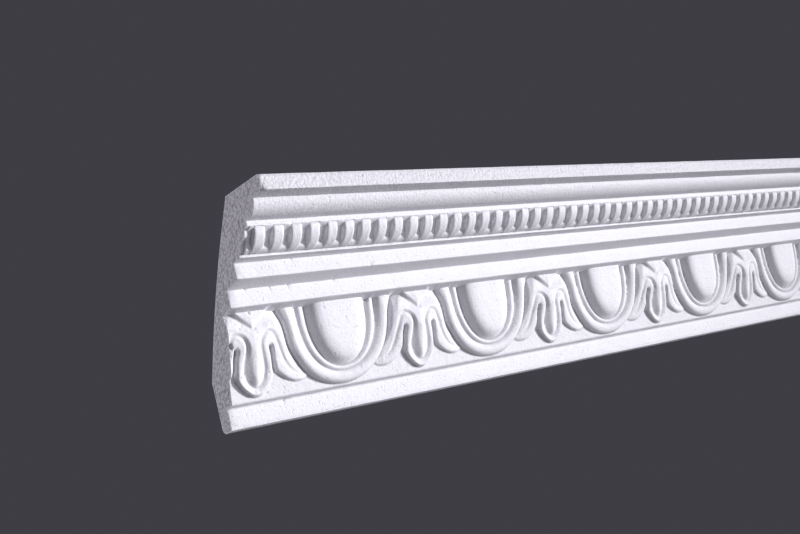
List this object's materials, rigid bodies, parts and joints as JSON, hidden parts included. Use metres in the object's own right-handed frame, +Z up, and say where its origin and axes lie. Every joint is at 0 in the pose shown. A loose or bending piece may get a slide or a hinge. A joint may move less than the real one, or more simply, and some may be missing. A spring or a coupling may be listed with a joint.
{
  "type": "cornice moulding length",
  "caption": "Straight length of white foam cornice with a ribbed upper band, plain stepped fascias and an egg-and-dart band, cut square at both ends.",
  "frame": {"origin": "centre of the flat wall face, half way along the length", "axes": "+X along the moulding, to the right as seen from the room; +Y into the wall; +Z up to the ceiling"},
  "size_m": [0.5396, 0.0763, 0.1],
  "materials": {
    "white_foam": "matte moulded expanded foam with fine bead grain, crumbly on cut edges"
  },
  "bodies": {
    "root": {"cornice_length": "white_foam"}
  },
  "joints": []
}
